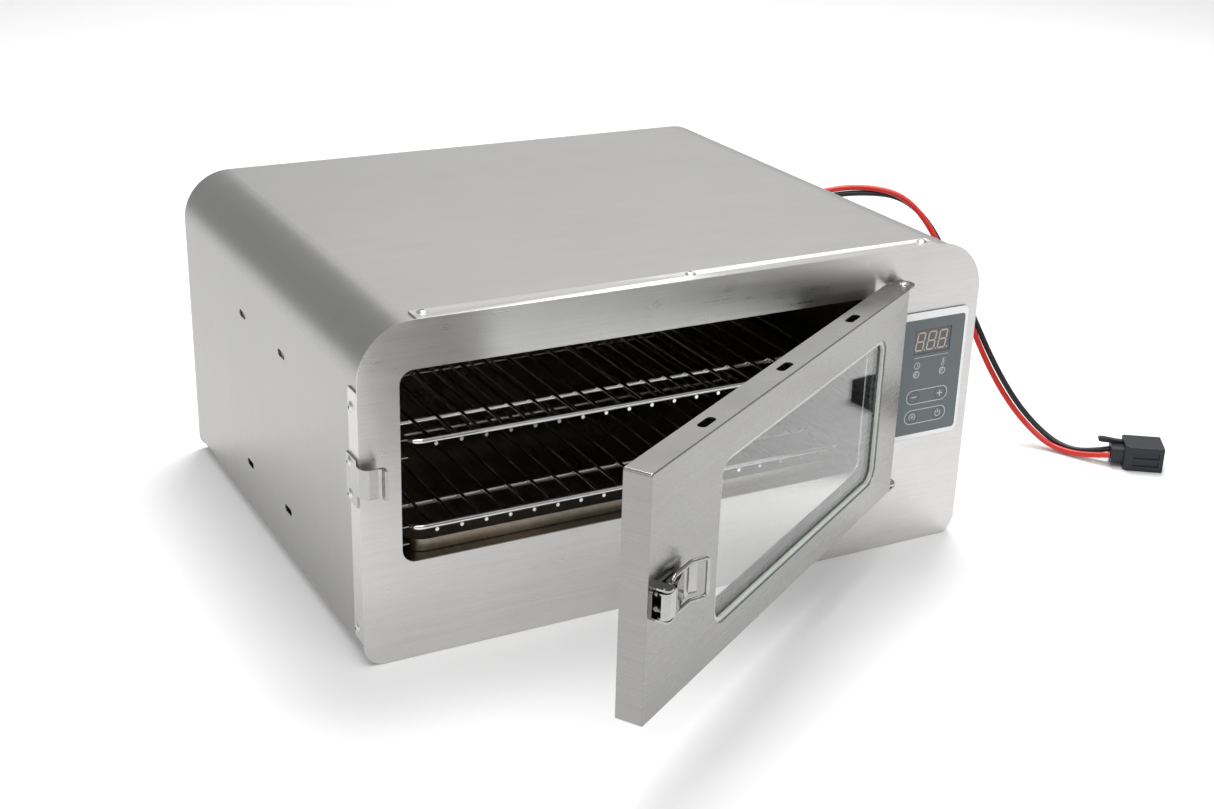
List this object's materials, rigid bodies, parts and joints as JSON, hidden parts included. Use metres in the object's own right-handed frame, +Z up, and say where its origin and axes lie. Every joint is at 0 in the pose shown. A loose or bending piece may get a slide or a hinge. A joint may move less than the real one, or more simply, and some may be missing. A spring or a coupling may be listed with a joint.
{
  "type": "portable camping oven",
  "caption": "Compact stainless-steel low-voltage camping oven with a side-hinged glass door, toggle latch, wire racks and a keypad.",
  "frame": {"origin": "centre of the casing's footprint, on the surface it stands on", "axes": "+X to the oven's right seen from the front, the door faces -Y, +Z up"},
  "size_m": [0.6079, 0.5098, 0.1972],
  "materials": {
    "casing_steel": "matte, bead-blasted look with a faint grain",
    "panel_steel": "horizontally brushed, satin",
    "door_steel": "horizontally brushed, satin",
    "latch_steel": "bright, lightly brushed",
    "liner_steel": "bright, dark in shade",
    "rivet_aluminium": "satin",
    "rack_chrome": "polished wire",
    "heater_metal": "dull foil",
    "door_glass": "clear, slightly tinted",
    "seal_rubber": "matte black silicone",
    "overlay_film": "fine matte film with a pale edge",
    "key_plastic": "fine matte",
    "display_plastic": "smoked face with pale digits",
    "lamp_plastic": "milky",
    "board_green": "solder mask",
    "black_plastic": "matte black",
    "red_plastic": "smooth insulation",
    "wool": "pale mineral wool board",
    "zinc_steel": "zinc plated"
  },
  "bodies": {
    "oven": {"base_plate": "casing_steel", "black_lead": "black_plastic", "board_standoffs": "zinc_steel", "cable_gland": "black_plastic", "connector_boot": "black_plastic", "connector_contacts": "zinc_steel", "connector_housing": "black_plastic", "connector_strap": "black_plastic", "control_board": "board_green", "control_overlay": "overlay_film", "display_module": "display_plastic", "front_panel": "panel_steel", "front_panel_rivets": "rivet_aluminium", "hinge_bracket_lower": "latch_steel", "hinge_bracket_upper": "latch_steel", "hinge_rivet_lower": "rivet_aluminium", "hinge_rivet_upper": "rivet_aluminium", "indicator_lamps": "lamp_plastic", "insulation_bottom": "wool", "insulation_left": "wool", "insulation_rear": "wool", "insulation_top": "wool", "latch_keeper": "latch_steel", "latch_keeper_rivets": "rivet_aluminium", "lower_heating_element": "heater_metal", "lower_rack_rail_left": "liner_steel", "lower_rack_rail_right": "liner_steel", "outer_casing": "casing_steel", "oven_liner": "liner_steel", "power_module": "heater_metal", "power_module_bracket": "zinc_steel", "rear_panel": "panel_steel", "red_lead": "red_plastic", "tactile_switches": "black_plastic", "temperature_sensor": "zinc_steel", "thermal_cutout": "black_plastic", "upper_heating_element": "heater_metal", "upper_rack_rail_left": "liner_steel", "upper_rack_rail_right": "liner_steel"},
    "door": {"door_shell": "door_steel", "door_inner_panel": "liner_steel", "door_seal": "seal_rubber", "glass_gasket": "seal_rubber", "door_glass": "door_glass", "glass_retainer_lower": "liner_steel", "glass_retainer_upper": "liner_steel", "latch_base": "latch_steel", "latch_base_rivets": "rivet_aluminium", "latch_pin": "latch_steel"},
    "latch_lever": {"latch_lever": "latch_steel"},
    "latch_bail": {"latch_bail": "latch_steel"},
    "upper_rack": {"upper_rack": "rack_chrome"},
    "lower_rack": {"lower_rack": "rack_chrome"},
    "drip_tray": {"drip_tray": "liner_steel"},
    "key_minus": {"key_minus": "key_plastic"},
    "key_plus": {"key_plus": "key_plastic"},
    "key_mode": {"key_mode": "key_plastic"},
    "key_power": {"key_power": "key_plastic"}
  },
  "joints": [
    {"name": "door_hinge", "type": "hinge", "parent": "oven", "child": "door", "pos_m": [0.1353, -0.1709, 0.113], "axis": [0, 0, 1], "range_deg": [-31.9, 118]},
    {"name": "latch_lever_pivot", "type": "hinge", "parent": "door", "child": "latch_lever", "pos_m": [-0.12158, -0.34446, 0.1122], "axis": [0, 0, -1], "range_deg": [0, 120]},
    {"name": "latch_bail_pivot", "type": "hinge", "parent": "latch_lever", "child": "latch_bail", "pos_m": [-0.11511, -0.33972, 0.1122], "axis": [0, 0, 1], "range_deg": [-190, 0]},
    {"name": "upper_rack_slide", "type": "slide", "parent": "oven", "child": "upper_rack", "axis": [0, -1, 0], "range_m": [0, 0.02]},
    {"name": "lower_rack_slide", "type": "slide", "parent": "oven", "child": "lower_rack", "axis": [0, -1, 0], "range_m": [0, 0.02]},
    {"name": "drip_tray_slide", "type": "slide", "parent": "oven", "child": "drip_tray", "axis": [0, -1, 0], "range_m": [0, 0.018]},
    {"name": "key_minus_press", "type": "slide", "parent": "oven", "child": "key_minus", "axis": [0, 1, 0], "range_m": [0, 0.0004], "stiffness_N_per_m": 2000},
    {"name": "key_plus_press", "type": "slide", "parent": "oven", "child": "key_plus", "axis": [0, 1, 0], "range_m": [0, 0.0004], "stiffness_N_per_m": 2000},
    {"name": "key_mode_press", "type": "slide", "parent": "oven", "child": "key_mode", "axis": [0, 1, 0], "range_m": [0, 0.0004], "stiffness_N_per_m": 2000},
    {"name": "key_power_press", "type": "slide", "parent": "oven", "child": "key_power", "axis": [0, 1, 0], "range_m": [0, 0.0004], "stiffness_N_per_m": 2000}
  ]
}
